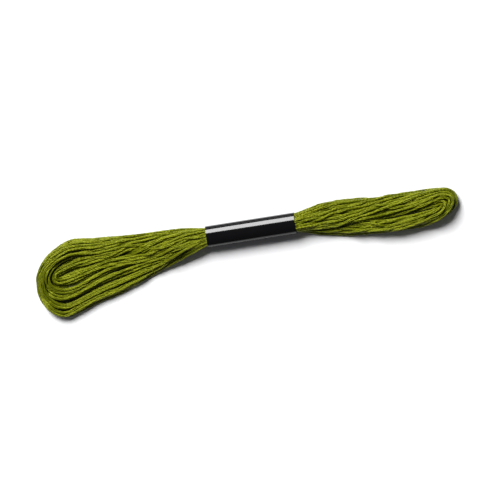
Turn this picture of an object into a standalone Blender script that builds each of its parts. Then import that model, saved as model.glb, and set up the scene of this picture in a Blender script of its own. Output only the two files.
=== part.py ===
"""A skein of olive green embroidery floss, lying flat and bound round its middle by a black paper band.

The wound floss is one closed ribbon. It runs through the upper half of the band into a narrow loop at
+X that stands on its edge, comes back through the lower half of the band, and opens into a wide loop at
-X whose near flank lies flat. Units are metres, +Z is up and the band lies along X.
"""

import math
from collections import namedtuple

import bpy
import numpy as np

MM = 0.001

# Paper band: a flattened round sleeve that rests on a flat spot.
BAND_LENGTH = 32.0 * MM
BAND_WIDTH = 7.9 * MM
BAND_HEIGHT = 6.9 * MM
PAPER = 0.5 * MM
LAP_STEP = 0.22 * MM  # how far the outer end of the paper stands over the inner one
LAP_AT = math.radians(-38)  # the lap's edge, as an angle in the band's section
LAP_FADE = math.radians(110)
BAND_SQUARENESS = 2.3
BAND_FLAT = 0.22 * MM  # what the flat spot takes off the round section's underside
BAND_POINTS = 48

GAP = 0.3 * MM  # between the band and the floss

# The floss inside the band fills it up to the gap, and spreads like a funnel from just past its ends.
WAIST_INSET = PAPER + GAP
FUNNEL_START = BAND_LENGTH / 2 + 0.4 * MM
FLARE = 0.8

# Cross-section of the ribbon: a rounded bar with ridges where groups of turns lie side by side.
RIDGES = 12
RIDGE_POINTS = 3  # one in the valley and two on the crest
RIDGE_DEPTH = 0.62 * MM
TIGHT_RIDGE_DEPTH = 0.16 * MM  # inside the band, where the turns are pressed together
TIGHT_FADE = 8.0 * MM  # from the band's end to where the ridges are full
VALLEY_SHARE, CREST_SHARE = -0.6, 0.4  # of a ridge's depth, in and out from the plain section
RIDGE_LAY = 2  # ridges by which the turns wander across the ribbon in one whole round
SQUARENESS = 2.5
LEDGE_HEIGHT = 2.3 * MM  # the inner turns, which lie low inside a loop
LEDGE_FADE = 1.2 * MM
SINK = 0.35 * MM  # how far the lowest ridges are pressed flat where the ribbon rests
FINE_POINTS = 240  # in the plain section's outline, before it is divided evenly

STATION_STEP = 3.6 * MM

# One row for each section of the ribbon, in the order in which the floss runs, in millimetres. The
# edges are seen from above, on the right and left hand as the floss runs, from the band's centre.
# base_r and base_l are the heights of the ribbon's underside at those edges, and a ledge is the reach of
# the inner turns past an edge, on the right if it is positive and on the left if it is negative.
Section = namedtuple("Section", "right_x right_y left_x left_y base_r base_l height ledge")
RIBBON = [
    # through the upper half of the band
    Section(0.0, -3.5, 0.0, 3.5, 3.7, 3.7, 2.7, 0.0),
    Section(16.4, -3.5, 16.4, 3.5, 3.7, 3.7, 2.7, 0.0),
    Section(20.0, -3.1, 20.0, 4.3, 3.6, 3.6, 2.6, 0.0),
    Section(25.5, -3.3, 25.0, 5.2, 3.4, 3.0, 3.0, 0.0),
    Section(31.0, -3.7, 30.0, 6.1, 3.4, 2.5, 3.2, 0.0),
    Section(36.5, -3.7, 36.0, 5.8, 3.4, 1.6, 3.5, 0.0),
    # far flank of the narrow loop
    Section(42.0, -3.1, 42.0, 5.1, 3.1, 0.4, 4.1, 0.0),
    Section(48.0, -2.2, 48.0, 4.7, 1.2, 0.0, 4.8, 0.0),
    Section(56.0, -1.5, 56.0, 4.4, 0.0, 0.0, 5.3, 0.6),
    Section(63.5, -0.9, 64.5, 4.3, 0.0, 0.0, 5.7, 0.9),
    # end of the narrow loop
    Section(66.7, -1.0, 71.3, 4.1, 0.0, 0.0, 6.0, 1.0),
    Section(68.1, -1.5, 74.8, 2.8, 0.0, 0.0, 6.1, 1.1),
    Section(68.0, -2.2, 75.1, 0.3, 0.0, 0.0, 6.0, 1.1),
    Section(66.9, -2.8, 72.6, -2.7, 0.0, 0.0, 5.7, 1.0),
    Section(64.6, -3.2, 68.9, -5.2, 0.0, 0.0, 5.2, 0.8),
    # near flank of the narrow loop
    Section(60.0, -3.5, 62.5, -7.3, 0.0, 0.0, 4.7, 0.5),
    Section(54.0, -3.6, 54.0, -7.7, 0.0, 0.0, 4.2, 0.2),
    Section(47.5, -3.3, 47.5, -7.7, 0.0, 0.0, 3.3, 0.0),
    Section(41.0, -1.5, 41.0, -7.4, 0.0, 0.0, 2.5, 0.0),
    Section(34.0, 0.4, 34.0, -6.9, 0.0, 0.0, 2.3, 0.0),
    Section(27.0, 1.9, 27.0, -5.6, 0.0, 0.0, 2.6, 0.0),
    Section(20.5, 3.0, 20.5, -4.3, 0.4, 0.4, 2.3, 0.0),
    # through the lower half of the band
    Section(16.4, 3.5, 16.4, -3.5, 0.8, 0.8, 2.4, 0.0),
    Section(0.0, 3.5, 0.0, -3.5, 0.8, 0.8, 2.4, 0.0),
    Section(-16.4, 3.5, -16.4, -3.5, 0.8, 0.8, 2.4, 0.0),
    Section(-20.5, 3.6, -20.5, -3.1, 0.4, 0.4, 2.3, 0.0),
    Section(-27.0, 4.0, -27.0, -2.7, 0.0, 0.0, 2.6, 0.0),
    Section(-35.0, 4.3, -35.0, -1.9, 0.0, 0.0, 2.3, 0.0),
    # far flank of the wide loop
    Section(-43.0, 4.6, -43.0, -0.3, 0.0, 0.0, 3.0, 0.0),
    Section(-50.0, 4.9, -50.0, -0.6, 0.0, 0.0, 4.2, -0.8),
    Section(-58.0, 5.3, -57.5, -0.4, 0.0, 0.0, 4.8, -1.9),
    Section(-65.0, 6.0, -64.0, 0.6, 0.0, 0.0, 5.4, -4.1),
    # end of the wide loop
    Section(-70.7, 3.9, -68.3, -0.4, 0.0, 0.0, 5.8, -4.1),
    Section(-75.3, 0.5, -72.0, -2.3, 0.0, 0.0, 6.2, -3.5),
    Section(-78.3, -3.8, -74.2, -4.5, 0.0, 0.0, 6.4, -3.2),
    Section(-79.4, -9.0, -74.9, -6.7, 0.0, 0.0, 6.4, -3.0),
    Section(-78.4, -13.8, -73.8, -8.1, 0.0, 0.0, 6.0, -2.7),
    Section(-75.7, -17.6, -72.0, -9.1, 0.0, 0.0, 5.4, -3.6),
    Section(-71.3, -20.6, -69.6, -9.4, 0.0, 0.0, 4.8, -4.1),
    # near flank of the wide loop
    Section(-65.0, -19.2, -65.6, -9.2, 0.0, 0.0, 4.5, -4.5),
    Section(-57.5, -17.1, -59.6, -7.2, 0.0, 0.0, 4.3, -3.7),
    Section(-50.0, -15.7, -53.2, -4.6, 0.0, 0.0, 4.1, -2.0),
    Section(-43.0, -13.2, -46.6, -1.9, 0.0, 1.2, 3.8, 0.0),
    Section(-36.5, -10.3, -39.8, 0.7, 0.4, 3.6, 3.1, 0.0),
    Section(-30.0, -8.1, -32.5, 2.5, 2.0, 3.5, 2.8, 0.0),
    Section(-23.7, -6.0, -25.5, 3.3, 2.9, 3.4, 2.7, 0.0),
    Section(-18.6, -4.2, -19.3, 3.6, 3.6, 3.7, 2.5, 0.0),
    Section(-16.4, -3.5, -16.4, 3.5, 3.7, 3.7, 2.7, 0.0),
]

HANK = "floss_hank"
BAND = "paper_band"
FLOSS_COLOUR = (0.165, 0.195, 0.012, 1.0)
PAPER_COLOUR = (0.010, 0.010, 0.012, 1.0)


def clear_scene():
    for obj in list(bpy.data.objects):
        bpy.data.objects.remove(obj, do_unlink=True)


def make_material(name, colour, roughness):
    material = bpy.data.materials.new(name)
    material.use_nodes = True
    shader = material.node_tree.nodes["Principled BSDF"]
    shader.inputs["Base Color"].default_value = colour
    shader.inputs["Roughness"].default_value = roughness
    shader.inputs["Metallic"].default_value = 0.0
    return material


def rounded_bar(count, half_width, half_height, squareness):
    """A closed outline between an ellipse and a rectangle, as (across, up) points, counterclockwise."""
    angles = np.linspace(0.0, 2 * math.pi, count, endpoint=False)
    power = 2.0 / squareness
    across = half_width * np.sign(np.cos(angles)) * np.abs(np.cos(angles)) ** power
    up = half_height * np.sign(np.sin(angles)) * np.abs(np.sin(angles)) ** power
    return np.column_stack([across, up])


def closed_spline(rows, step):
    """A smooth closed run through the table's rows, sampled so that neither edge moves by more than step."""
    rows = np.array(rows) * MM
    after, before = np.roll(rows, -1, axis=0), np.roll(rows, 1, axis=0)
    middles = (rows[:, 0:2] + rows[:, 2:4]) / 2
    spans = np.linalg.norm(np.roll(middles, -1, axis=0) - middles, axis=1)
    reach = (spans + np.roll(spans, 1))[:, None]
    slopes = (after - before) / reach
    stations = []
    for i, span in enumerate(spans):
        start, end = rows[i], after[i]
        slope_in, slope_out = slopes[i] * span, slopes[(i + 1) % len(rows)] * span
        move = max(np.linalg.norm(end[0:2] - start[0:2]), np.linalg.norm(end[2:4] - start[2:4]))
        pieces = max(1, math.ceil(move / step))
        for t in np.arange(pieces) / pieces:
            stations.append(
                (2 * t**3 - 3 * t**2 + 1) * start
                + (t**3 - 2 * t**2 + t) * slope_in
                + (3 * t**2 - 2 * t**3) * end
                + (t**3 - t**2) * slope_out
            )
    return [Section(*station) for station in stations]


def even_points(outline, count, start):
    """Points at even distances along a closed outline, the first at a fraction of the way round."""
    closed = np.vstack([outline, outline[:1]])
    along = np.concatenate([[0.0], np.cumsum(np.linalg.norm(np.diff(closed, axis=0), axis=1))])
    wanted = ((np.arange(count) / count + start) % 1.0) * along[-1]
    return np.column_stack([np.interp(wanted, along, closed[:, k]) for k in (0, 1)])


def outward(points):
    """Unit normals of a closed counterclockwise outline."""
    run = np.roll(points, -1, axis=0) - np.roll(points, 1, axis=0)
    normals = np.column_stack([run[:, 1], -run[:, 0]])
    return normals / np.linalg.norm(normals, axis=1)[:, None]


def ridge_depth(x):
    """Shallow inside the band, full where the turns are free."""
    free = min(1.0, max(0.0, (abs(x) - BAND_LENGTH / 2) / TIGHT_FADE))
    return TIGHT_RIDGE_DEPTH + (RIDGE_DEPTH - TIGHT_RIDGE_DEPTH) * free


def ribbon_outline(station, start):
    """The section's ridged outline, across from its middle towards the right hand, and up from its base."""
    width = math.dist((station.right_x, station.right_y), (station.left_x, station.left_y))
    half_height = station.height / 2
    bar = rounded_bar(FINE_POINTS, width / 2, half_height, SQUARENESS) + [0.0, half_height]
    side = math.copysign(1.0, station.ledge)
    towards = np.clip(side * bar[:, 0] / (width / 2), 0.0, 1.0)
    low = np.clip((LEDGE_HEIGHT + LEDGE_FADE - bar[:, 1]) / LEDGE_FADE, 0.0, 1.0)
    bar[:, 0] += station.ledge * towards * low
    points = even_points(bar, RIDGES * RIDGE_POINTS, start)
    depth = ridge_depth((station.right_x + station.left_x) / 2)
    in_valley = np.arange(len(points)) % RIDGE_POINTS == 0
    offset = depth * np.where(in_valley, VALLEY_SHARE, CREST_SHARE)
    return points + outward(points) * offset[:, None]


def sleeve_radii(inset):
    """Half width, half height and centre height of the band's round section, drawn in by an inset."""
    half_height = (BAND_HEIGHT + BAND_FLAT) / 2
    return BAND_WIDTH / 2 - inset, half_height - inset, BAND_HEIGHT - half_height


def gathered(x, y, z):
    """Pulls a point into the funnel that the band makes of the floss, and up onto what it rests on."""
    opening = FLARE * max(0.0, abs(x) - FUNNEL_START)
    half_width, half_height, centre = sleeve_radii(WAIST_INSET - opening)
    across = abs(y) / half_width
    up = abs(z - centre) / half_height
    spread = (across**BAND_SQUARENESS + up**BAND_SQUARENESS) ** (1 / BAND_SQUARENESS)
    if spread > 1.0:
        y, z = y / spread, centre + (z - centre) / spread
    return y, max(z, WAIST_INSET - opening, 0.0)


def ribbon_ring(station, start):
    """The section's outline stood up in space between its two edges."""
    middle = np.array([station.right_x + station.left_x, station.right_y + station.left_y]) / 2
    across = np.array([station.right_x - station.left_x, station.right_y - station.left_y])
    width = np.linalg.norm(across)
    across /= width
    ring = []
    for offset, up in ribbon_outline(station, start):
        x, y = middle + across * offset
        share = min(1.0, max(0.0, offset / width + 0.5))
        base = station.base_l + (station.base_r - station.base_l) * share
        ring.append((x, *gathered(x, y, base + up - SINK)))
    return ring


def make_hank(collection, material):
    """The loft through all the ribbon's sections, closed on itself."""
    stations = closed_spline(RIBBON, STATION_STEP)
    around = RIDGES * RIDGE_POINTS
    points = []
    for i, station in enumerate(stations):
        points += ribbon_ring(station, RIDGE_LAY / RIDGES * i / len(stations))
    faces = []
    for i in range(len(stations)):
        last = i == len(stations) - 1
        first_here, first_next = i * around, 0 if last else (i + 1) * around
        turned = RIDGE_LAY * RIDGE_POINTS if last else 0
        for j in range(around):
            k = (j + 1) % around
            faces.append(
                (
                    first_here + j,
                    first_next + (j + turned) % around,
                    first_next + (k + turned) % around,
                    first_here + k,
                )
            )
    mesh = bpy.data.meshes.new(HANK)
    mesh.from_pydata(points, [], faces)
    mesh.shade_smooth()
    mesh.set_sharp_from_angle(angle=math.radians(50))
    hank = bpy.data.objects.new(HANK, mesh)
    mesh.materials.append(material)
    collection.objects.link(hank)
    return hank


def band_outline(inset, lap_step):
    """The sleeve's outline in its own section, flat below, with the lap's edge as a small step."""
    half_width, half_height, centre = sleeve_radii(inset)
    points = []
    for across, up in rounded_bar(BAND_POINTS, half_width, half_height, BAND_SQUARENESS):
        past_lap = (math.atan2(up, across) - LAP_AT) % (2 * math.pi)
        shrink = 1.0 - lap_step / half_width * max(0.0, 1.0 - past_lap / LAP_FADE)
        points.append((across * shrink, max(inset, centre + up * shrink)))
    return points


def make_band(collection, material):
    """The paper sleeve, an extruded ring."""
    curve = bpy.data.curves.new(BAND, "CURVE")
    curve.dimensions = "2D"
    curve.fill_mode = "BOTH"
    curve.extrude = BAND_LENGTH / 2
    for outline in (band_outline(0.0, LAP_STEP), band_outline(PAPER, 0.0)):
        spline = curve.splines.new("POLY")
        spline.points.add(len(outline) - 1)
        for point, (across, up) in zip(spline.points, outline):
            point.co = (across, up, 0.0, 1.0)
        spline.use_cyclic_u = True
    curve.materials.append(material)
    band = bpy.data.objects.new(BAND, curve)
    band.rotation_euler = (math.radians(90), 0.0, math.radians(90))
    collection.objects.link(band)
    return band


def centre_on_origin(hank, band):
    """Moves both pieces so that the origin lies under the middle of the skein's box."""
    points = np.array([vertex.co for vertex in hank.data.vertices])
    middle = (points.min(axis=0) + points.max(axis=0)) / 2
    for piece in (hank, band):
        piece.location.x -= middle[0]
        piece.location.y -= middle[1]


def main():
    clear_scene()
    collection = bpy.data.collections.new("embroidery_floss_skein")
    bpy.context.scene.collection.children.link(collection)
    hank = make_hank(collection, make_material("olive floss", FLOSS_COLOUR, 0.55))
    band = make_band(collection, make_material("black paper", PAPER_COLOUR, 0.25))
    centre_on_origin(hank, band)


main()
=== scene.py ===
"""The finished look of a skein of olive embroidery floss, bound by a black paper band.

One long floss is wound turn by turn along the skein's ribbon, settled so that its turns lie on and beside
each other, and drawn as six twisted strands. The paper band is wrapped round its waist, and the skein lies
on a pale table under a soft light.
"""

import math
from collections import namedtuple

import bpy
import numpy as np
from mathutils import Matrix, Vector


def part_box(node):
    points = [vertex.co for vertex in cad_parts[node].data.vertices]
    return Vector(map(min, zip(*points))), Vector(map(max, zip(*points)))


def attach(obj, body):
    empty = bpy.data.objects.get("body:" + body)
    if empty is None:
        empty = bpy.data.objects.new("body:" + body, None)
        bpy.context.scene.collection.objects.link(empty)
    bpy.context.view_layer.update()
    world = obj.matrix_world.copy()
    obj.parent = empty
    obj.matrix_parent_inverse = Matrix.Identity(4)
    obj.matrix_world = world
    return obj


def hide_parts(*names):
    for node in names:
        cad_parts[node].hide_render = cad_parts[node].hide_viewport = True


bl_info = {
    "name": "Embroidery Floss Skein",
    "version": (1, 0, 0),
    "blender": (4, 5, 0),
    "location": "3D View > Sidebar > Floss",
    "description": "Winds a skein of stranded floss, wraps its paper band and lays it on a pale table",
    "category": "Object",
}

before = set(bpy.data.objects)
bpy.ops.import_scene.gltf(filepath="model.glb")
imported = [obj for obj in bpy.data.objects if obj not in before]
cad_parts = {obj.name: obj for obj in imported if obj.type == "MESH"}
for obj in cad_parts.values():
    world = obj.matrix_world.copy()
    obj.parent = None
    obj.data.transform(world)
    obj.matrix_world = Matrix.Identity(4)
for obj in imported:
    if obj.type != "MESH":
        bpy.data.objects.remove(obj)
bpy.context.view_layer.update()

MM = 0.001  # lengths are in metres
HANK_NODE = "floss_hank"
BAND_NODE = "paper_band"
BAND_LOW, BAND_HIGH = (Vector(corner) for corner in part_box(BAND_NODE))
BAND_CENTRE = (BAND_LOW + BAND_HIGH) / 2
BAND_SIZE = BAND_HIGH - BAND_LOW

# The ribbon that the turns make, a row for each section in the order in which the floss runs, in
# millimetres from the band's centre. The edges are the right and left hand one as the floss runs.
# base_r and base_l are the heights of the underside there, and a ledge is the reach of the inner turns
# past the right hand edge if it is positive and past the left hand one if it is negative.
Section = namedtuple("Section", "right_x right_y left_x left_y base_r base_l height ledge")
RIBBON = [
    # through the upper half of the band
    Section(0.0, -3.5, 0.0, 3.5, 3.7, 3.7, 2.7, 0.0),
    Section(16.4, -3.5, 16.4, 3.5, 3.7, 3.7, 2.7, 0.0),
    Section(20.0, -3.1, 20.0, 4.3, 3.6, 3.6, 2.6, 0.0),
    Section(25.5, -3.3, 25.0, 5.2, 3.4, 3.0, 3.0, 0.0),
    Section(31.0, -3.7, 30.0, 6.1, 3.4, 2.5, 3.2, 0.0),
    Section(36.5, -3.7, 36.0, 5.8, 3.4, 1.6, 3.5, 0.0),
    # far flank of the narrow loop
    Section(42.0, -3.4, 42.0, 5.1, 3.1, 0.4, 4.1, 0.0),
    Section(48.0, -3.0, 48.0, 4.7, 1.2, 0.0, 4.8, 0.0),
    Section(56.0, -2.8, 56.0, 4.4, 0.0, 0.0, 5.3, 0.6),
    Section(63.5, -2.3, 64.5, 4.3, 0.0, 0.0, 5.7, 0.9),
    # end of the narrow loop
    Section(66.5, -2.1, 71.3, 4.1, 0.0, 0.0, 6.0, 1.0),
    Section(67.7, -2.4, 74.8, 2.8, 0.0, 0.0, 6.1, 1.1),
    Section(67.6, -2.8, 75.1, 0.3, 0.0, 0.0, 6.0, 1.1),
    Section(66.6, -3.1, 72.6, -2.7, 0.0, 0.0, 5.8, 1.0),
    Section(64.6, -3.4, 68.9, -5.2, 0.0, 0.0, 5.6, 0.8),
    # near flank of the narrow loop
    Section(60.0, -3.6, 62.5, -7.3, 0.0, 0.0, 5.4, 0.5),
    Section(54.0, -3.8, 54.0, -7.7, 0.0, 0.0, 5.0, 0.2),
    Section(47.5, -3.9, 47.5, -7.7, 0.0, 0.0, 4.0, 0.0),
    Section(41.0, -2.0, 41.0, -7.4, 0.0, 0.0, 2.9, 0.0),
    Section(34.0, 0.4, 34.0, -6.9, 0.0, 0.0, 2.3, 0.0),
    Section(27.0, 1.9, 27.0, -5.6, 0.0, 0.0, 2.6, 0.0),
    Section(20.5, 3.0, 20.5, -4.3, 0.4, 0.4, 2.3, 0.0),
    # through the lower half of the band
    Section(16.4, 3.5, 16.4, -3.5, 0.8, 0.8, 2.4, 0.0),
    Section(0.0, 3.5, 0.0, -3.5, 0.8, 0.8, 2.4, 0.0),
    Section(-16.4, 3.5, -16.4, -3.5, 0.8, 0.8, 2.4, 0.0),
    Section(-20.5, 3.6, -20.5, -3.1, 0.4, 0.4, 2.3, 0.0),
    Section(-27.0, 4.0, -27.0, -2.7, 0.0, 0.0, 2.6, 0.0),
    Section(-35.0, 4.3, -35.0, -1.9, 0.0, 0.0, 2.3, 0.0),
    # far flank of the wide loop
    Section(-43.0, 4.6, -43.0, -0.3, 0.0, 0.0, 3.0, 0.0),
    Section(-50.0, 4.9, -50.0, -0.6, 0.0, 0.0, 4.2, -0.8),
    Section(-58.0, 5.3, -57.5, -0.4, 0.0, 0.0, 4.8, -1.9),
    Section(-65.0, 6.0, -64.0, 0.6, 0.0, 0.0, 5.4, -4.1),
    # end of the wide loop
    Section(-70.7, 3.9, -68.3, -0.4, 0.0, 0.0, 5.8, -4.1),
    Section(-75.3, 0.5, -72.0, -2.3, 0.0, 0.0, 6.2, -3.5),
    Section(-78.3, -3.8, -74.2, -4.5, 0.0, 0.0, 6.4, -3.2),
    Section(-79.4, -9.0, -74.9, -6.7, 0.0, 0.0, 6.4, -3.0),
    Section(-78.5, -14.0, -73.8, -8.3, 0.0, 0.0, 6.0, -2.7),
    Section(-76.1, -18.2, -72.0, -9.5, 0.0, 0.0, 5.4, -3.6),
    Section(-71.6, -21.3, -69.6, -9.9, 0.0, 0.0, 4.8, -4.1),
    # near flank of the wide loop
    Section(-65.2, -19.5, -65.6, -9.6, 0.0, 0.0, 4.5, -4.5),
    Section(-57.5, -17.1, -59.6, -7.2, 0.0, 0.0, 4.3, -3.7),
    Section(-50.0, -15.7, -53.2, -4.6, 0.0, 0.0, 4.1, -2.0),
    Section(-43.0, -13.2, -46.6, -1.9, 0.0, 1.2, 3.8, 0.0),
    Section(-36.5, -10.3, -39.8, 0.7, 0.4, 3.6, 3.1, 0.0),
    Section(-30.0, -8.1, -32.5, 2.5, 2.0, 3.5, 2.8, 0.0),
    Section(-23.7, -6.0, -25.5, 3.3, 2.9, 3.4, 2.7, 0.0),
    Section(-18.6, -4.2, -19.3, 3.6, 3.6, 3.7, 2.5, 0.0),
    Section(-16.4, -3.5, -16.4, 3.5, 3.7, 3.7, 2.7, 0.0),
]

# In the wide loop the bunches open out. The turns inside it lie low, layer by layer from the table up, at
# these shares of the ledge.
INNER_LAYERS = ((0.34, 0.56, 0.78, 1.0), (0.45, 0.67, 0.9), (0.56, 0.8))
# Other turns line the table, at these places across the ribbon, from its inner edge at -1 to its outer
# edge at 1.
LOW_PLACES = (-0.95, -0.7, -0.45, -0.2, 0.03, 0.27, 0.5, 0.75, 1.0)
# The topmost bunches lie on those as ropes, at these places across the ribbon. Where it is too narrow for
# them side by side, they lie on each other, at these shares of its height.
ROPE_PLACES = (-0.95, -0.32, 0.32, 0.95)
ROPE_LEVELS = (0.9, 0.1, 1.0, 0.15)

# Winding. A round starts and ends in the middle of the band.
SECTION_STEP = 1.0 * MM  # at most, between the sections that the path is wound through
PATH_STEP = 0.85 * MM  # between the points of the path
RIM_SHARE = 0.6  # of the bunches, which stand round the rim of the ribbon's section
CORE_RADIUS = 0.4  # of the ring of the other bunches, as a share of the rim's
CORE_TURN = 0.3  # how far that ring is turned round, as a share of the angle between two of its bunches
OPENING_AT = -33.0 * MM  # where the bunches start to open out towards the wide loop
OPENING_LENGTH = 20.0 * MM  # from there to where they are fully open
CHANGE_LENGTH = 24.0 * MM  # inside the band, in which a turn moves over to the next one's place
ROUND_END = 0.1  # the first and the last stretch of a round, which hold the change, as a share of it
ROLL_START, ROLL_LENGTH = 0.04, 0.42  # of a round, the stretch in which the bunches roll round each other
LAY_PHASE = 0.6  # radians by which the turns' slow roll to and fro is ahead of the round
LAYER_RISE = 1.7  # from one layer of the innermost turns to the next, in radii of the floss
STACK_WIDTH = 7.5  # of the ribbon where the ropes start to lie on each other, in radii of a rope
TOP_SINK = 0.5  # how far the middle of a turn stays under the ribbon's top, in radii of the floss

# Settling. Each round pulls, sinks and straightens the floss, and then makes its corrections.
LOOSE_INSIDE = 2.0 * MM  # how far inside the band's ends the floss starts to fill out
SEARCH_ROUNDS = 6  # from one search for turns that may touch to the next
SEARCH_REACH = 1.3  # how near such turns are, in diameters of the floss
SAME_TURN = 2.2  # the stretch along the floss that can't touch itself, in diameters of the floss
PULL_LOSS = 0.8  # share of the sideways pull that is gone at the end
LEVEL_PULL = 0.3  # the pull on a turn's height, as a share of the sideways one at the start
SHARED_PUSH = 1.6  # turns that may push a point at full strength; more of them share that strength
TINY = 1e-9  # metres, for turns that cross in one point
PASSES = 2  # of each correction in a round, and of the smoothing at the end
SMOOTHING = 0.25  # share of each bend that a pass takes out

# Strands. A rate is how far a random pattern moves on in a metre of the floss.
OWN_RATE, SWAY_RATE = 45.0, 28.0  # of a strand's own drift round the floss, and of the sway that all share
OWN_DRIFT, FULL_SWAY = 3.0, 6.0  # radians round the floss for a drift or a sway of 1
STRAND_SHIFT = 31.7  # between the patterns of one strand's drift and the next one's
RING_RADIUS = 0.98  # of the strands round the floss's middle, in diameters of a strand, before the drift
WIDEST_RING = 1.0
FIBRE_RATE, STREAK_RATE = 220.0, 14.0  # of the fibres and of the streaks in the dye
STREAK_SHIFT = 17.3  # between the patterns of one strand's streaks and the next one's

# Paper
CREASE_WAVES = (3, 5, 7, 9, 12)  # how many of each kind of soft crease go round the section
LAP_DEPTH = 1.4  # of the paper's start under the band's outside, in thicknesses of the paper
SHARP_ANGLE = math.radians(40)  # of the edges that stay sharp

# The camera looks down from high up, a little past the skein's narrow end. Offsets are from the table
# under the band's centre. The lamp's is to the right and up in the picture, and up from the table.
CAMERA_OFFSET = Vector((165.0, 13.0, 1400.0)) * MM
CAMERA_AIM = Vector((-2.0, -7.0, 0.0)) * MM
BAND_RISE = math.radians(8.8)  # how far the band climbs to the right in the picture
FILM_WIDTH = 36.0  # millimetres
FRAME_SPAN = 0.178  # metres of the table across the picture
VIEW_REACH = 20.0  # from the camera to where its view ends
LAMP_OFFSET = Vector((-0.8, 1.36, 1.88))
SKY_COLOUR = (0.95, 0.97, 1.0, 1.0)


# ----------------------------------------------------
# Winding and settling the floss
# ----------------------------------------------------


def ease(value):
    """A smooth step from 0 to 1 for an array of values."""
    value = np.clip(value, 0.0, 1.0)
    return value * value * (3.0 - 2.0 * value)


def ribbon_sections(step):
    """The table's rows joined by a smooth closed run, as an array with a row every step or less."""
    rows = np.array(RIBBON) * MM
    after, before = np.roll(rows, -1, axis=0), np.roll(rows, 1, axis=0)
    middles = (rows[:, 0:2] + rows[:, 2:4]) / 2
    spans = np.linalg.norm(np.roll(middles, -1, axis=0) - middles, axis=1)
    slopes = (after - before) / (spans + np.roll(spans, 1))[:, None]
    # From each row to the next, a cubic run with the slopes at both.
    run = []
    for i, span in enumerate(spans):
        count = max(2, math.ceil(span / step))
        t = (np.arange(count) / count)[:, None]
        run.append(
            (2 * t**3 - 3 * t**2 + 1) * rows[i]
            + (t**3 - 2 * t**2 + t) * slopes[i] * span
            + (3 * t**2 - 2 * t**3) * after[i]
            + (t**3 - t**2) * slopes[(i + 1) % len(rows)] * span
        )
    return np.vstack(run)


def bunch_middles(count):
    """Places for the bunches in a disc of radius 1: most stand round its rim, and the rest fill it."""
    outer = round(RIM_SHARE * count)
    inner = count - outer
    turned = np.concatenate([np.arange(outer) / outer, (np.arange(inner) + CORE_TURN) / inner])
    angle = 2 * math.pi * turned
    radius = np.where(np.arange(count) < outer, 1.0, CORE_RADIUS)
    return np.column_stack([radius * np.cos(angle), radius * np.sin(angle)])


def wander(share, rng, waves=(2, 3, 5, 7)):
    """A smooth random drift along one round that comes back to where it began."""
    drift = np.zeros_like(share)
    for wave in waves:
        drift += rng.normal(0.0, 1.0) * np.sin(2 * math.pi * wave * share + rng.uniform(0, 2 * math.pi))
    return drift / math.sqrt(len(waves))


def wide_loop_places(bunch, middles):
    """Each turn's place in the wide loop: across the ribbon, share of the ledge, layer, and rope or -1."""
    inner = [(-1.0, reach, layer, -1) for layer, reaches in enumerate(INNER_LAYERS) for reach in reaches]
    by_side = np.argsort(middles[:, 0]).tolist()
    turns_of = [np.flatnonzero(bunch == own).tolist() for own in range(len(middles))]
    inside = []
    while len(inside) < len(inner):
        inside += turns_of[by_side.pop(0)]
    places = dict(zip(inside, inner))
    topmost = sorted(by_side, key=lambda own: -middles[own, 1])[: len(ROPE_PLACES)]
    ropes = [own for own in by_side if own in topmost]
    for rope, own in enumerate(ropes):
        for turn in turns_of[own]:
            places[turn] = (ROPE_PLACES[rope], 0.0, 0, rope)
    low = [turn for own in by_side if own not in ropes for turn in turns_of[own]]
    for turn, place in zip(low, LOW_PLACES):
        places[turn] = (place, 0.0, 0, -1)
    return places


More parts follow.
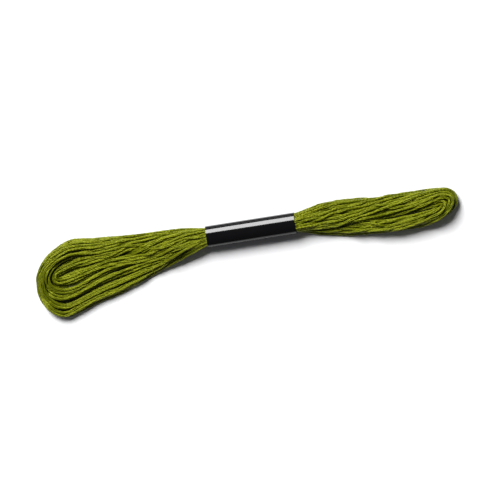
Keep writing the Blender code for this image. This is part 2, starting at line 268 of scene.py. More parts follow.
def wound_floss(floss, rng):
    """The floss's path as it is wound: turn after turn along the ribbon, in bunches that keep together."""
    radius = floss.floss_diameter / 2
    sections = ribbon_sections(SECTION_STEP)
    right, left = sections[:, 0:2], sections[:, 2:4]
    base_r, base_l, height, ledge = sections[:, 4:8].T
    middle = (right + left) / 2
    width = np.linalg.norm(right - left, axis=1)
    across_way = (right - left) / width[:, None]
    run = np.concatenate([[0.0], np.cumsum(np.linalg.norm(np.diff(middle, axis=0), axis=1))])
    share = run / (run[-1] + SECTION_STEP)

    bunch = np.arange(floss.turns) * floss.bunches // floss.turns
    size = np.bincount(bunch)
    middles = bunch_middles(floss.bunches)
    roll = rng.choice([-2, -1, 1, 2], floss.bunches)
    phase = rng.uniform(0.0, 2 * math.pi, floss.bunches)
    drifts = [(wander(share, rng), wander(share, rng)) for _ in range(floss.bunches)]
    opened = ease((OPENING_AT - middle[:, 0]) / OPENING_LENGTH)
    open_places = wide_loop_places(bunch, middles)
    rolled = 2 * math.pi * floss.rolls * ease((share - ROLL_START) / ROLL_LENGTH)
    lay = floss.lay * np.sin(2 * math.pi * share + LAY_PHASE) + rolled
    rope = floss.bunch_reach + radius
    room_across = width / 2 - rope
    room_up = np.maximum(0.0, height / 2 - rope)
    stacked = ease((STACK_WIDTH * rope - width) / (2 * rope))
    laid = []
    for turn in range(floss.turns):
        # Its place with its bunch in the rounded ribbon.
        own = bunch[turn]
        drift = [floss.bunch_drift * drifts[own][axis] for axis in (0, 1)]
        place = [middles[own][axis] + drift[axis] for axis in (0, 1)]
        p = np.clip(place[0] * np.cos(lay) - place[1] * np.sin(lay), -1.0, 1.0)
        q = np.clip(place[0] * np.sin(lay) + place[1] * np.cos(lay), -1.0, 1.0)
        angle = phase[own] + 2 * math.pi * (turn / size[own] + roll[own] * share)
        round_across, round_up = floss.bunch_reach * np.cos(angle), floss.bunch_reach * np.sin(angle)
        across = p * room_across + round_across
        up = height / 2 + q * room_up + round_up

        # Its place in the wide loop, where the bunches are opened out.
        lane, reach, layer, in_rope = open_places[turn]
        if in_rope < 0:
            open_across = lane * (width / 2 - radius) - reach * np.abs(ledge)
            open_up = radius * (1.0 + LAYER_RISE * layer)
        else:
            open_across = (lane + drift[0]) * room_across + round_across
            level = 1.0 + stacked * (ROPE_LEVELS[in_rope] - 1.0)
            open_up = rope + level * (height - 2 * rope) + round_up
        across = across + (open_across - across) * opened + floss.drift * wander(share, rng)
        up = up + (open_up - up) * opened + floss.drift * wander(share, rng)
        across = np.minimum(across, width / 2 - radius)
        up = np.clip(up, radius, height - TOP_SINK * radius)
        laid.append(np.column_stack([across, up]))

    # A turn moves over to the next one's place inside the band, where the round begins and ends.
    change = ease(0.5 + middle[:, 0] / CHANGE_LENGTH)[:, None]
    starting, ending = (share < ROUND_END)[:, None], (share > 1.0 - ROUND_END)[:, None]
    path = []
    for turn, here in enumerate(laid):
        last, following = laid[max(0, turn - 1)], laid[min(turn + 1, floss.turns - 1)]
        place = np.where(starting, last + (here - last) * change, here)
        place = np.where(ending, here + (following - here) * change, place)
        level = np.clip(place[:, 0] / width + 0.5, 0.0, 1.0)
        base = base_l + (base_r - base_l) * level
        path.append(np.column_stack([middle + across_way * place[:, :1], base + place[:, 1]]))
    return np.vstack(path)


def evenly_spaced(path, step):
    """The same path with its points a step apart."""
    along = np.concatenate([[0.0], np.cumsum(np.linalg.norm(np.diff(path, axis=0), axis=1))])
    wanted = np.linspace(0.0, along[-1], max(2, round(along[-1] / step)) + 1)
    return np.column_stack([np.interp(wanted, along, path[:, axis]) for axis in range(3)])


def close_pairs(points, reach, apart):
    """Pairs of points nearer than reach, from a grid of cells, leaving out neighbours along the floss."""
    cells = np.floor((points - points.min(axis=0)) / reach).astype(np.int64) + 1
    size = cells.max(axis=0) + 2
    keys = (cells[:, 0] * size[1] + cells[:, 1]) * size[2] + cells[:, 2]
    order = np.argsort(keys, kind="stable")
    ranked = keys[order]
    # The cell itself and half of those around it, so that each pair comes up once.
    steps = [(x, y, z) for x in (-1, 0, 1) for y in (-1, 0, 1) for z in (-1, 0, 1)]
    first, second = [], []
    for x, y, z in steps[len(steps) // 2 :]:
        wanted = ranked + (x * size[1] + y) * size[2] + z
        low = np.searchsorted(ranked, wanted, "left")
        high = np.searchsorted(ranked, wanted, "right")
        counts = high - low
        own = np.repeat(np.arange(len(points)), counts)
        start = np.repeat(low - np.concatenate([[0], np.cumsum(counts)[:-1]]), counts)
        other = start + np.arange(counts.sum())
        if (x, y, z) == (0, 0, 0):
            keep = own < other
            own, other = own[keep], other[keep]
        first.append(order[own])
        second.append(order[other])
    first, second = np.concatenate(first), np.concatenate(second)
    keep = np.abs(first - second) > apart
    first, second = first[keep], second[keep]
    gap = points[first] - points[second]
    near = np.einsum("ij,ij->i", gap, gap) < reach * reach
    return first[near], second[near]


def summed(index, moves, count):
    """All the moves of each point added up."""
    return np.column_stack([np.bincount(index, moves[:, axis], count) for axis in range(3)])


def freedom(points, floss):
    """How free the floss is at each point, from 0 where the band holds it to 1 well past the band."""
    return ease((np.abs(points[:, 0]) - BAND_SIZE.x / 2 + LOOSE_INSIDE) / floss.swell)


def thickness(points, floss):
    """The floss's radius at each point: pressed thin inside the band, full where it is free."""
    return floss.floss_diameter / 2 * (floss.pressed + (1.0 - floss.pressed) * freedom(points, floss))


def held_by_band(points, radius, floss):
    """Keeps the floss inside the band, and inside the funnel that it makes past its ends."""
    opening = floss.flare * np.maximum(0.0, np.abs(points[:, 0]) - BAND_SIZE.x / 2)
    half_width = BAND_SIZE.y / 2 - floss.paper - radius + opening
    half_height = BAND_SIZE.z / 2 - floss.paper - radius + opening
    centre = BAND_SIZE.z / 2
    spread_out = np.hypot(points[:, 1] / half_width, (points[:, 2] - centre) / half_height)
    over = spread_out > 1.0
    points[over, 1] /= spread_out[over]
    points[over, 2] = centre + (points[over, 2] - centre) / spread_out[over]


def settled_floss(path, floss):
    """The path once its turns have pushed each other apart and sunk onto the table and each other."""
    goal = path.copy()
    points = path.copy()
    rest = np.linalg.norm(np.diff(points, axis=0), axis=1)
    apart = math.ceil(SAME_TURN * floss.floss_diameter / rest.mean())
    rounds = floss.settle_rounds
    for step in range(rounds):
        radius = thickness(points, floss)
        if step % SEARCH_ROUNDS == 0:
            first, second = close_pairs(points, floss.floss_diameter * SEARCH_REACH, apart)
        sideways = floss.pull * (1.0 - PULL_LOSS * (step / rounds))
        points += (sideways, sideways, LEVEL_PULL * floss.pull) * (goal - points)
        points[:, 2] -= floss.sink * freedom(points, floss)
        bend = (points[:-2] + points[2:]) / 2 - points[1:-1]
        points[1:-1] += floss.stiffness * bend
        # The floss keeps its length, in every even stretch between two points and then in every odd one.
        for _ in range(PASSES):
            for start in (0, 1):
                run = points[start + 1 :: 2][: len(points[start:-1:2])] - points[start:-1:2]
                distance = np.linalg.norm(run, axis=1)
                shift = (0.5 * (1.0 - rest[start::2] / distance))[:, None] * run
                points[start:-1:2] += shift
                points[start + 1 :: 2][: len(shift)] -= shift
        # Turns that press into each other move apart, and all stay on the table and inside the band.
        for _ in range(PASSES):
            gap = points[first] - points[second]
            distance = np.linalg.norm(gap, axis=1) + TINY
            press = np.maximum(0.0, radius[first] + radius[second] - distance)
            move = (0.5 * press / distance)[:, None] * gap
            hits = press > 0
            touched = np.bincount(np.concatenate([first[hits], second[hits]]), minlength=len(points))
            total = summed(first, move, len(points)) - summed(second, move, len(points))
            points += total * (SHARED_PUSH / np.maximum(SHARED_PUSH, touched))[:, None]
            points[:, 2] = np.maximum(points[:, 2], radius)
            held_by_band(points, radius, floss)
            astray = points[:, :2] - goal[:, :2]
            reach = np.maximum(1.0, np.linalg.norm(astray, axis=1) / floss.stray)
            points[:, :2] = goal[:, :2] + astray / reach[:, None]
    for _ in range(PASSES):
        points[1:-1] += SMOOTHING * ((points[:-2] + points[2:]) / 2 - points[1:-1])
    points[:, 2] = np.maximum(points[:, 2], thickness(points, floss))
    return points


# ----------------------------------------------------
# Node helpers
# ----------------------------------------------------


def add(tree, kind, inputs=None, **settings):
    """Adds a node. inputs maps its sockets, by name or number, to a value or to another node's output."""
    node = tree.nodes.new(kind)
    for name, value in settings.items():
        setattr(node, name, value)
    for key, value in (inputs or {}).items():
        if isinstance(value, bpy.types.NodeSocket):
            tree.links.new(value, node.inputs[key])
        else:
            node.inputs[key].default_value = value
    return node


def maths(tree, operation, first, second=0.0, third=0.0):
    """The result of a Math node."""
    return add(tree, "ShaderNodeMath", {0: first, 1: second, 2: third}, operation=operation).outputs[0]


def remap(tree, value, low, high, to_low, to_high):
    """The value, clamped, carried from one range to another."""
    inputs = {"Value": value, "From Min": low, "From Max": high, "To Min": to_low, "To Max": to_high}
    return add(tree, "ShaderNodeMapRange", inputs).outputs["Result"]


def blended(tree, share, first, second):
    """Two colours blended by a share."""
    return add(tree, "ShaderNodeMix", {0: share, 6: first, 7: second}, data_type="RGBA").outputs[2]


def opaque(colour):
    """The colour as a colour socket takes it, with its alpha."""
    return tuple(colour) + (1.0,)


def new_group(name, kind, inputs, outputs):
    """An empty node group with its sockets, and its input and output nodes."""
    group = bpy.data.node_groups.new(name, kind)
    for socket_name, socket_type, default in inputs:
        socket = group.interface.new_socket(socket_name, in_out="INPUT", socket_type=socket_type)
        if default is not None:
            socket.default_value = default
    for socket_name, socket_type in outputs:
        group.interface.new_socket(socket_name, in_out="OUTPUT", socket_type=socket_type)
    return group, group.nodes.new("NodeGroupInput"), group.nodes.new("NodeGroupOutput")


# ----------------------------------------------------
# Materials
# ----------------------------------------------------


def new_material(name):
    """A new material, its node tree and its shader."""
    material = bpy.data.materials.new(name)
    material.use_nodes = True
    return material, material.node_tree, material.node_tree.nodes["Principled BSDF"]


def set_relief(tree, shader, height, strength, distance):
    """Gives the surface a relief, in which a height of 1 stands out by the distance."""
    node = add(tree, "ShaderNodeBump", {"Strength": strength, "Distance": distance, "Height": height})
    tree.links.new(node.outputs["Normal"], shader.inputs["Normal"])


def mottling_group():
    """Soft patches and fine grain, for colour and roughness that vary a little over a surface."""
    if "Mottling" in bpy.data.node_groups:
        return bpy.data.node_groups["Mottling"]
    inputs = [("Patch Scale", "NodeSocketFloat", 60.0), ("Grain Scale", "NodeSocketFloat", 2500.0)]
    outputs = [("Patches", "NodeSocketFloat"), ("Grain", "NodeSocketFloat")]
    group, given, result = new_group("Mottling", "ShaderNodeTree", inputs, outputs)
    place = add(group, "ShaderNodeTexCoord").outputs["Object"]
    for scale, output, detail in (("Patch Scale", "Patches", 2.0), ("Grain Scale", "Grain", 4.0)):
        noise_inputs = {"Vector": place, "Scale": given.outputs[scale], "Detail": detail}
        noise = add(group, "ShaderNodeTexNoise", noise_inputs)
        group.links.new(noise.outputs["Fac"], result.inputs[output])
    return group


def plies_group():
    """The two plies of a strand, twisted round each other, and the fibres that run along them."""
    inputs = [("Ply Length", "NodeSocketFloat", 0.0024), ("Fibre Scale", "NodeSocketFloat", 3.0)]
    outputs = [("Ply", "NodeSocketFloat"), ("Fibre", "NodeSocketFloat"), ("Streak", "NodeSocketFloat")]
    group, given, result = new_group("Strand Plies", "ShaderNodeTree", inputs, outputs)
    along = add(group, "ShaderNodeAttribute", attribute_name="along").outputs["Fac"]
    strand = add(group, "ShaderNodeAttribute", attribute_name="strand").outputs["Fac"]
    around = add(group, "ShaderNodeAttribute", attribute_name="around").outputs["Vector"]
    facing = add(group, "ShaderNodeSeparateXYZ", {0: around})
    angle = maths(group, "ARCTAN2", facing.outputs["Y"], facing.outputs["X"])
    turns = maths(group, "DIVIDE", along, given.outputs["Ply Length"])
    twist = maths(group, "MULTIPLY_ADD", turns, 2 * math.pi, angle)
    cosine, sine = maths(group, "COSINE", twist), maths(group, "SINE", twist)
    group.links.new(maths(group, "ABSOLUTE", sine), result.inputs["Ply"])
    forward = maths(group, "MULTIPLY_ADD", along, FIBRE_RATE, strand)
    fibre_place = add(group, "ShaderNodeCombineXYZ", {0: cosine, 1: sine, 2: forward}).outputs[0]
    fibre_inputs = {"Vector": fibre_place, "Scale": given.outputs["Fibre Scale"], "Detail": 3.0}
    group.links.new(add(group, "ShaderNodeTexNoise", fibre_inputs).outputs["Fac"], result.inputs["Fibre"])
    forward = maths(group, "MULTIPLY", along, STREAK_RATE)
    streak_place = maths(group, "MULTIPLY_ADD", strand, STREAK_SHIFT, forward)
    streak = add(group, "ShaderNodeTexNoise", {"W": streak_place, "Detail": 2.0}, noise_dimensions="1D")
    group.links.new(streak.outputs["Fac"], result.inputs["Streak"])
    return group


def floss_material(floss):
    """Silky mercerised cotton: two plies to a strand, painted shade between them, painted fibre highlights,
    a soft lustre.
    """
    material, tree, shader = new_material("silky olive cotton")
    plies = add(tree, "ShaderNodeGroup", {"Ply Length": floss.ply_length}, node_tree=plies_group()).outputs
    mottling = add(tree, "ShaderNodeGroup", node_tree=mottling_group()).outputs
    dark_dye_and_shade = opaque(floss.dark_dye_and_shade_colour)
    # The dye varies in hue and depth, along each strand and from place to place.
    tone = maths(tree, "MULTIPLY_ADD", plies["Streak"], 0.6, 0.1)
    tone = maths(tree, "MULTIPLY_ADD", mottling["Patches"], 0.3, tone)
    hue = remap(tree, plies["Streak"], 0.35, 0.65, 0.0, 1.0)
    dyed = blended(tree, hue, opaque(floss.colour), opaque(floss.warm_colour))
    body = blended(tree, tone, dark_dye_and_shade, dyed)
    # Single fibres get a painted highlight and are shinier, and painted shade darkens the grooves between
    # the plies.
    fibre = remap(tree, plies["Fibre"], 0.3, 0.7, 0.0, 1.0)
    # Painted highlight: a fibre pattern blends the body towards the colour of the best lit fibres.
    lit = blended(tree, maths(tree, "MULTIPLY", fibre, 0.35), body, opaque(floss.fibre_highlight_colour))
    # Painted shade: darkest where two plies meet, in the groove between them.
    painted_groove_shade = remap(tree, plies["Ply"], 0.0, 0.5, 0.45, 0.0)
    tree.links.new(blended(tree, painted_groove_shade, lit, dark_dye_and_shade), shader.inputs["Base Color"])
    tree.links.new(remap(tree, plies["Fibre"], 0.2, 0.8, 0.28, 0.46), shader.inputs["Roughness"])
    shader.inputs["Specular IOR Level"].default_value = 0.9
    shader.inputs["Specular Tint"].default_value = (0.92, 1.0, 0.10, 1.0)
    shader.inputs["Sheen Weight"].default_value = 0.05
    shader.inputs["Sheen Roughness"].default_value = 0.35
    shader.inputs["Sheen Tint"].default_value = (0.85, 0.95, 0.45, 1.0)
    relief = maths(tree, "MULTIPLY_ADD", plies["Fibre"], 0.35, plies["Ply"])
    set_relief(tree, shader, relief, 0.6, 0.06 * MM)
    return material


def paper_material(band):
    """Coated black paper: a hard low gloss, a little dulled and marked by handling."""
    material, tree, shader = new_material("coated black paper")
    scales = {"Patch Scale": 180.0, "Grain Scale": 6000.0}
    mottling = add(tree, "ShaderNodeGroup", scales, node_tree=mottling_group()).outputs
    grain = maths(tree, "MULTIPLY", mottling["Grain"], 0.35)
    rubbed = blended(tree, grain, opaque(band.colour), (0.008, 0.008, 0.009, 1.0))
    tree.links.new(rubbed, shader.inputs["Base Color"])
    tree.links.new(remap(tree, mottling["Patches"], 0.3, 0.7, 0.12, 0.17), shader.inputs["Roughness"])
    shader.inputs["Specular IOR Level"].default_value = 0.37
    set_relief(tree, shader, mottling["Grain"], 0.25, 0.02 * MM)
    return material


def table_material(stage):
    """A plain pale matt top with the faintest unevenness."""
    material, tree, shader = new_material("pale table")
    mottling = add(tree, "ShaderNodeGroup", {"Patch Scale": 12.0}, node_tree=mottling_group()).outputs
    softer = [0.97 * value for value in stage.table_colour]
    tone = blended(tree, mottling["Patches"], opaque(stage.table_colour), opaque(softer))
    tree.links.new(tone, shader.inputs["Base Color"])
    shader.inputs["Roughness"].default_value = 0.7
    shader.inputs["Specular IOR Level"].default_value = 0.3
    return material


# ----------------------------------------------------
# Strands
# ----------------------------------------------------


def unevenness(tree, place, strength):
    """A smooth random value along the floss, about 0 and at most half the strength."""
    noise = add(tree, "ShaderNodeTexNoise", {"W": place, "Detail": 1.0}, noise_dimensions="1D")
    return maths(tree, "MULTIPLY", maths(tree, "SUBTRACT", noise.outputs["Fac"], 0.5), strength)


def stored(tree, geometry, name, value, data_type):
    """The geometry with a named attribute on its points."""
    inputs = {"Geometry": geometry, "Name": name, "Value": value}
    kind = "GeometryNodeStoreNamedAttribute"
    return add(tree, kind, inputs, data_type=data_type, domain="POINT").outputs[0]


def strand_tree():
    """Geometry nodes that lay one twisted strand of the floss along the floss's path."""
    inputs = [
        ("Geometry", "NodeSocketGeometry", None),
        ("Strand", "NodeSocketInt", 0),
        ("Strands", "NodeSocketInt", 6),
        ("Strand Diameter", "NodeSocketFloat", 0.00032),
        ("Twist Length", "NodeSocketFloat", 0.02),
        ("Step", "NodeSocketFloat", 0.0013),
        ("Sides", "NodeSocketInt", 6),
        ("Unevenness", "NodeSocketFloat", 1.0),
        ("Material", "NodeSocketMaterial", None),
    ]
    outputs = [("Geometry", "NodeSocketGeometry")]
    tree, group_inputs, result = new_group("Twisted Strand", "GeometryNodeTree", inputs, outputs)
    given = group_inputs.outputs

    # Where the strand runs in its ring round the middle of the floss.
    path_inputs = {"Curve": given["Geometry"], "Length": given["Step"]}
    path = add(tree, "GeometryNodeResampleCurve", path_inputs, mode="LENGTH").outputs[0]
    along = add(tree, "GeometryNodeSplineParameter").outputs["Length"]
    place = maths(tree, "DIVIDE", given["Strand"], given["Strands"])
    turns = maths(tree, "DIVIDE", along, given["Twist Length"])
    seed = maths(tree, "MULTIPLY", given["Strand"], STRAND_SHIFT)
    drift = unevenness(tree, maths(tree, "MULTIPLY_ADD", along, OWN_RATE, seed), given["Unevenness"])
    sway = unevenness(tree, maths(tree, "MULTIPLY", along, SWAY_RATE), given["Unevenness"])
    angle = maths(tree, "MULTIPLY", maths(tree, "ADD", place, turns), 2 * math.pi)
    angle = maths(tree, "MULTIPLY_ADD", sway, FULL_SWAY, angle)
    angle = maths(tree, "MULTIPLY_ADD", drift, OWN_DRIFT, angle)
    radius = add(tree, "GeometryNodeInputRadius").outputs[0]
    ring = maths(tree, "MINIMUM", maths(tree, "ADD", drift, RING_RADIUS), WIDEST_RING)
    width = maths(tree, "MULTIPLY", given["Strand Diameter"], radius)
    ring = maths(tree, "MULTIPLY", width, ring)
    normal = add(tree, "GeometryNodeInputNormal").outputs["Normal"]
    tangent = add(tree, "GeometryNodeInputTangent").outputs[0]
    cross = add(tree, "ShaderNodeVectorMath", {0: tangent, 1: normal}, operation="CROSS_PRODUCT").outputs[0]
    sideways = []
    for direction, part in ((normal, "COSINE"), (cross, "SINE")):
        reach = maths(tree, "MULTIPLY", maths(tree, part, angle), ring)
        scaled = add(tree, "ShaderNodeVectorMath", {0: direction, "Scale": reach}, operation="SCALE")
        sideways.append(scaled.outputs[0])
    offset = add(tree, "ShaderNodeVectorMath", {0: sideways[0], 1: sideways[1]}).outputs[0]
    path = stored(tree, path, "along", along, "FLOAT")
    laid = add(tree, "GeometryNodeSetPosition", {"Geometry": path, "Offset": offset}).outputs[0]

    # The strand's round section, carried along its path.
    half = maths(tree, "MULTIPLY", given["Strand Diameter"], 0.5)
    circle_inputs = {"Resolution": given["Sides"], "Radius": half}
    circle = add(tree, "GeometryNodeCurvePrimitiveCircle", circle_inputs).outputs["Curve"]
    position = add(tree, "GeometryNodeInputPosition").outputs[0]
    outward = add(tree, "ShaderNodeVectorMath", {0: position}, operation="NORMALIZE").outputs[0]
    circle = stored(tree, circle, "around", outward, "FLOAT_VECTOR")
    tube_inputs = {"Curve": laid, "Profile Curve": circle, "Scale": radius, "Fill Caps": True}
    tube = add(tree, "GeometryNodeCurveToMesh", tube_inputs).outputs[0]
    tube = stored(tree, tube, "strand", given["Strand"], "FLOAT")
    smooth = add(tree, "GeometryNodeSetShadeSmooth", {"Geometry": tube}).outputs[0]
    real = add(tree, "GeometryNodeRealizeInstances", {"Geometry": smooth}).outputs[0]
    finished = add(tree, "GeometryNodeSetMaterial", {"Geometry": real, "Material": given["Material"]})
    tree.links.new(finished.outputs[0], result.inputs["Geometry"])
    return tree


def path_curve(name, points, radii):
    """A curve object through the points, with the floss's thickness at each as a share of the full one."""
    curve = bpy.data.curves.new(name, "CURVE")
    curve.dimensions = "3D"
    curve.twist_mode = "MINIMUM"
    spline = curve.splines.new("POLY")
    spline.points.add(len(points) - 1)
    spline.points.foreach_set("co", np.column_stack([points, np.ones(len(points))]).ravel())
    spline.points.foreach_set("radius", radii)
    obj = bpy.data.objects.new(name, curve)
    bpy.context.scene.collection.objects.link(obj)
    return obj


def shaped(obj, tree, values):
    """Runs the tree on the object with these inputs, and returns what it makes as a plain mesh."""
    modifier = obj.modifiers.new("Shape", "NODES")
    modifier.node_group = tree
    sockets = {item.name: item.identifier for item in tree.interface.items_tree if item.in_out == "INPUT"}
    for name, value in values.items():
        modifier[sockets[name]] = value
    graph = bpy.context.evaluated_depsgraph_get()
    mesh = bpy.data.meshes.new_from_object(obj.evaluated_get(graph), depsgraph=graph)
    obj.modifiers.remove(modifier)
    return mesh


def add_piece(name, mesh, node):
    """Shows a finished mesh in place of a solid."""
    mesh.name = name
    piece = bpy.data.objects.new(name, mesh)
    bpy.context.scene.collection.objects.link(piece)
    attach(piece, "root")
    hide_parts(node)
    return piece


# ----------------------------------------------------
# Paper band
# ----------------------------------------------------


def band_sheet(band, rng):
    """The strip of paper wrapped once round the waist and lapped over its start, as a grid of points."""
    count, rows = band.around_points, band.along_points
    t = np.linspace(0.0, 1.0, count)
    angle = band.lap_at + (2 * math.pi + band.lap) * t
    power = 2.0 / band.squareness
    inset = LAP_DEPTH * band.paper * (1.0 - t)
    half_width = BAND_SIZE.y / 2 - inset
    half_height = (BAND_SIZE.z + band.flat) / 2 - inset
    centre = BAND_SIZE.z - (BAND_SIZE.z + band.flat) / 2
    x = np.linspace(BAND_LOW.x, BAND_HIGH.x, rows)
    creases = np.zeros((rows, count))
    for wave in CREASE_WAVES:
        phase = rng.uniform(0, 2 * math.pi) + rng.normal(0.0, 1.0) * (x - x[0]) / BAND_SIZE.x
        creases += rng.normal(0.0, 1.0) / wave**0.5 * np.sin(wave * angle[None, :] + phase[:, None])
    swell = 1.0 - band.creasing * np.abs(creases) / (BAND_SIZE.y / 2)
    across = half_width * np.sign(np.cos(angle)) * np.abs(np.cos(angle)) ** power * swell
    up = centre + half_height * np.sign(np.sin(angle)) * np.abs(np.sin(angle)) ** power * swell
    up = np.maximum(up, inset[None, :])

    # The paper runs straight over the dip between two turns.
    bridge = np.flatnonzero((angle > band.bridge_start) & (angle < band.bridge_end))
    first, last = bridge[:1], bridge[-1:]
    share = (across[:, bridge] - across[:, first]) / (across[:, last] - across[:, first])
    up[:, bridge] = up[:, first] + share * (up[:, last] - up[:, first])
    return np.stack([np.repeat(x[:, None], count, axis=1), BAND_CENTRE.y + across, up], axis=2)


def grid_mesh(name, grid):
    """A mesh sheet through a grid of points, facing outwards."""
    rows, count = grid.shape[:2]
    index = np.arange(rows * count).reshape(rows, count)
    faces = np.stack([index[:-1, :-1], index[:-1, 1:], index[1:, 1:], index[1:, :-1]], axis=2)
    mesh = bpy.data.meshes.new(name)
    mesh.from_pydata(grid.reshape(-1, 3).tolist(), [], faces.reshape(-1, 4).tolist())
    mesh.shade_smooth()
    return mesh


# ----------------------------------------------------
# Settings
# ----------------------------------------------------


def number(name, description, default, **settings):
    """A property for a number."""
    return bpy.props.FloatProperty(name=name, description=description, default=default, **settings)


def length(name, description, default):
    """A property for a length in metres."""
    return number(name, description, default, min=0.0, subtype="DISTANCE", unit="LENGTH", precision=5)


def ratio(name, description, default):
    """A property for a share or a strength."""
    return number(name, description, default, min=0.0, precision=4)


def turning(name, description, default):
    """A property for an angle."""
    return number(name, description, default, subtype="ANGLE", unit="ROTATION")


def colour(name, description, default):
    """A property for a colour."""
    return bpy.props.FloatVectorProperty(
        name=name, description=description, default=default, subtype="COLOR", size=3, min=0.0, max=1.0
    )


def whole(name, description, default):
    """A property for a whole number."""
    return bpy.props.IntProperty(name=name, description=description, default=default, min=0)


class FlossSettings(bpy.types.PropertyGroup):
    """The floss and how it is wound."""

    turns: whole("Turns", "Turns of the floss in the skein", 30)
    bunches: whole("Bunches", "Bunches of turns that keep together", 10)
    floss_diameter: length("Floss Diameter", "Width of the whole floss", 1.08 * MM)
    strands: whole("Strands", "Strands in the floss", 6)
    strand_diameter: length("Strand Diameter", "Width of one strand", 0.36 * MM)
    twist_length: length("Twist Length", "Length of floss in which its strands go round once", 21.0 * MM)
    ply_length: length("Ply Length", "Length of strand in which its plies go round once", 2.4 * MM)
    step: length("Strand Step", "Distance between a strand's rings", 1.35 * MM)
    sides: whole("Strand Sides", "Faces round a strand", 6)
    bunch_reach: length("Bunch Reach", "Distance of a turn from the middle of its bunch", 0.64 * MM)
    bunch_drift: ratio("Bunch Drift", "How far a bunch strays from its place", 0.12)
    drift: length("Drift", "How far a turn strays from its bunch", 0.15 * MM)
    lay: turning("Lay", "How far the turns roll across the ribbon", 0.35)
    rolls: whole("Rolls", "Times that the bunches roll round each other in the narrow loop", 1)
    pressed: ratio("Pressed", "Thickness inside the band, as a share of the full one", 0.74)
    swell: length("Swell", "Length past the band in which the floss fills out", 18.0 * MM)
    flare: ratio("Flare", "How fast the turns spread past the band", 0.8)
    paper: length("Paper", "Depth of the turns under the outside of the band", 0.2 * MM)
    seed: whole("Seed", "Seed of the winding's small irregularities", 7)
    settle_rounds: whole("Settling", "Rounds in which the turns settle on each other", 120)
    pull: ratio("Pull", "How firmly each turn keeps to its place as it settles", 0.03)
    stray: length("Stray", "How far a turn may be pushed sideways from its place", 0.8 * MM)
    sink: length("Sink", "How far the floss sinks in each round", 0.017 * MM)
    stiffness: ratio("Stiffness", "How much the floss straightens in each round", 0.15)
    colour: colour("Colour", "Body colour of the floss", (0.096, 0.132, 0.0014))
    warm_colour: colour("Warm Colour", "Body colour where the dye leans to yellow", (0.140, 0.150, 0.0010))
    # Deep Colour is the dye's darker random tone, and also the painted shade in the grooves between plies
    # and strands.
    dark_dye_and_shade_colour: colour("Deep Colour", "Colour between plies and strands", (0.014, 0.018, 0.0003))
    # Bright Colour is a painted highlight on single fibres.
    fibre_highlight_colour: colour("Bright Colour", "Colour of the best lit fibres", (0.290, 0.335, 0.008))


class BandSettings(bpy.types.PropertyGroup):
    """The paper band round the skein's waist."""

    paper: length("Paper", "Thickness of the paper", 0.15 * MM)
    lap: turning("Lap", "How far the paper laps over its own start", math.radians(70))
    lap_at: turning("Lap Start", "Where in the section the paper starts", math.radians(-38))
    squareness: ratio("Squareness", "2 is a round section, and more is squarer", 2.7)
    flat: length("Flat", "What the flat spot takes off the underside", 0.22 * MM)
    bridge_start: turning("Bridge Start", "Where the paper starts to span two turns", math.radians(52))
    bridge_end: turning("Bridge End", "Where the paper lies on the floss again", math.radians(77))
    creasing: length("Creasing", "Depth of the soft creases along the band", 0.035 * MM)
    around_points: whole("Points Around", "Points round the section", 120)
    along_points: whole("Points Along", "Points along the band", 33)
    seed: whole("Seed", "Seed of the creases", 3)
    colour: colour("Colour", "Colour of the paper", (0.002, 0.002, 0.0024))


class StageSettings(bpy.types.PropertyGroup):
    """The table, the light and the view."""

    table_size: length("Table Size", "Side of the table top", 6.0)
    table_colour: colour("Table Colour", "Colour of the table top", (0.84, 0.84, 0.85))
    key_power: number("Key Power", "Power of the main soft light", 112.0, unit="POWER")
    key_size: length("Key Size", "Width of the main soft light", 1.28)
    sky: ratio("Sky", "Strength of the even light from all round", 0.065)


# ----------------------------------------------------
# Operators
# ----------------------------------------------------


class FLOSS_OT_wind(bpy.types.Operator):
    """Wind the floss, let its turns settle and lay its strands"""

    bl_idname = "floss.wind"
    bl_label = "Wind the Floss"

    def execute(self, context):
        floss = context.scene.floss
        rng = np.random.default_rng(floss.seed)
        path = evenly_spaced(wound_floss(floss, rng), PATH_STEP)
        path = settled_floss(path, floss)
        radii = thickness(path, floss) / (floss.floss_diameter / 2)
        path += (BAND_CENTRE.x, BAND_CENTRE.y, 0.0)
        guide = path_curve("floss path", path, radii)
        tree = strand_tree()
        material = floss_material(floss)
        for strand in range(floss.strands):
            values = {
                "Strand": strand,
                "Strands": floss.strands,
                "Strand Diameter": floss.strand_diameter,
                "Twist Length": floss.twist_length,
                "Step": floss.step,
                "Sides": floss.sides,
                "Material": material,
            }
            mesh = shaped(guide, tree, values)
            add_piece(f"floss_strand_{strand + 1}", mesh, HANK_NODE)
        bpy.data.objects.remove(guide)
        return {"FINISHED"}


class FLOSS_OT_wrap_band(bpy.types.Operator):
    """Wrap the paper band round the skein's waist"""

    bl_idname = "floss.wrap_band"
    bl_label = "Wrap the Paper Band"

    def execute(self, context):
        band = context.scene.floss_band
        mesh = grid_mesh("paper sleeve", band_sheet(band, np.random.default_rng(band.seed)))
        mesh.materials.append(paper_material(band))
        wrap = bpy.data.objects.new("paper sleeve", mesh)
        context.scene.collection.objects.link(wrap)
        wall = wrap.modifiers.new("Paper", "SOLIDIFY")
        wall.thickness = band.paper
        wall.offset = -1.0  # inwards
        graph = context.evaluated_depsgraph_get()
        solid = bpy.data.meshes.new_from_object(wrap.evaluated_get(graph), depsgraph=graph)
        bpy.data.objects.remove(wrap)
        solid.set_sharp_from_angle(angle=SHARP_ANGLE)
        add_piece("paper_sleeve", solid, BAND_NODE)
        return {"FINISHED"}


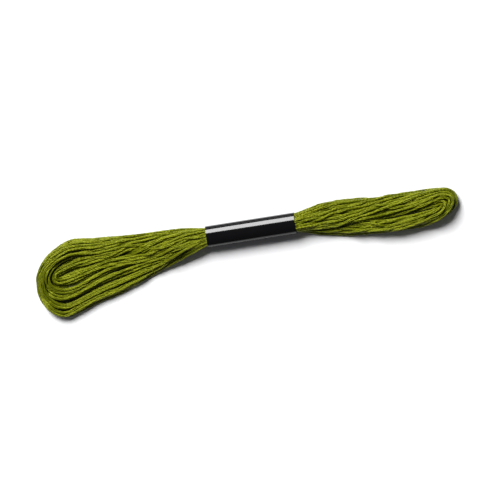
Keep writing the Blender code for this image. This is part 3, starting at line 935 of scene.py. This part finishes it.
class FLOSS_OT_lay_table(bpy.types.Operator):
    """Lay the skein on a pale table, light it softly and look at it from above"""

    bl_idname = "floss.lay_table"
    bl_label = "Lay the Table"

    def execute(self, context):
        stage = context.scene.floss_stage
        bpy.ops.mesh.primitive_plane_add(size=stage.table_size)
        table = context.object
        table.name = "table_top"
        table.data.materials.append(table_material(stage))

        picture_right = Vector((math.cos(BAND_RISE), -math.sin(BAND_RISE), 0.0))
        picture_up = Vector((math.sin(BAND_RISE), math.cos(BAND_RISE), 0.0))
        middle = Vector((BAND_CENTRE.x, BAND_CENTRE.y, 0.0))

        key = bpy.data.lights.new("key", "AREA")
        key.energy = stage.key_power
        key.size = stage.key_size
        lamp = bpy.data.objects.new("key", key)
        height = Vector((0.0, 0.0, LAMP_OFFSET.z))
        lamp.location = middle + picture_right * LAMP_OFFSET.x + picture_up * LAMP_OFFSET.y + height
        lamp.rotation_euler = (middle - lamp.location).to_track_quat("-Z", "Y").to_euler()
        context.scene.collection.objects.link(lamp)

        world = bpy.data.worlds.new("even light")
        world.use_nodes = True
        sky = world.node_tree.nodes["Background"]
        sky.inputs["Color"].default_value = SKY_COLOUR
        sky.inputs["Strength"].default_value = stage.sky
        context.scene.world = world
        context.scene.view_settings.view_transform = "Standard"

        lens = bpy.data.cameras.new("camera")
        viewer = bpy.data.objects.new("camera", lens)
        context.scene.collection.objects.link(viewer)
        viewer.location = middle + CAMERA_OFFSET
        backward = (viewer.location - (middle + CAMERA_AIM)).normalized()
        rightward = (picture_right - backward * picture_right.dot(backward)).normalized()
        turn = Matrix((rightward, backward.cross(rightward), backward)).transposed()
        viewer.rotation_euler = turn.to_euler()
        lens.sensor_width = FILM_WIDTH
        lens.lens = FILM_WIDTH * CAMERA_OFFSET.length / FRAME_SPAN
        lens.clip_end = VIEW_REACH
        context.scene.camera = viewer
        return {"FINISHED"}


class FLOSS_PT_panel(bpy.types.Panel):
    """Lists the skein's pieces in the order in which they are made"""

    bl_label = "Embroidery Floss Skein"
    bl_idname = "FLOSS_PT_panel"
    bl_space_type = "VIEW_3D"
    bl_region_type = "UI"
    bl_category = "Floss"

    def draw(self, context):
        groups = (
            (context.scene.floss, FLOSS_OT_wind),
            (context.scene.floss_band, FLOSS_OT_wrap_band),
            (context.scene.floss_stage, FLOSS_OT_lay_table),
        )
        for settings, operator in groups:
            box = self.layout.box()
            for name in settings.__annotations__:
                box.prop(settings, name)
            box.operator(operator.bl_idname)


CLASSES = (
    FlossSettings,
    BandSettings,
    StageSettings,
    FLOSS_OT_wind,
    FLOSS_OT_wrap_band,
    FLOSS_OT_lay_table,
    FLOSS_PT_panel,
)


def register():
    for cls in CLASSES:
        bpy.utils.register_class(cls)
    bpy.types.Scene.floss = bpy.props.PointerProperty(type=FlossSettings)
    bpy.types.Scene.floss_band = bpy.props.PointerProperty(type=BandSettings)
    bpy.types.Scene.floss_stage = bpy.props.PointerProperty(type=StageSettings)


def unregister():
    for name in ("floss", "floss_band", "floss_stage"):
        delattr(bpy.types.Scene, name)
    for cls in reversed(CLASSES):
        bpy.utils.unregister_class(cls)


def main():
    register()
    bpy.ops.floss.wind()
    bpy.ops.floss.wrap_band()
    bpy.ops.floss.lay_table()


if __name__ == "__main__":
    main()
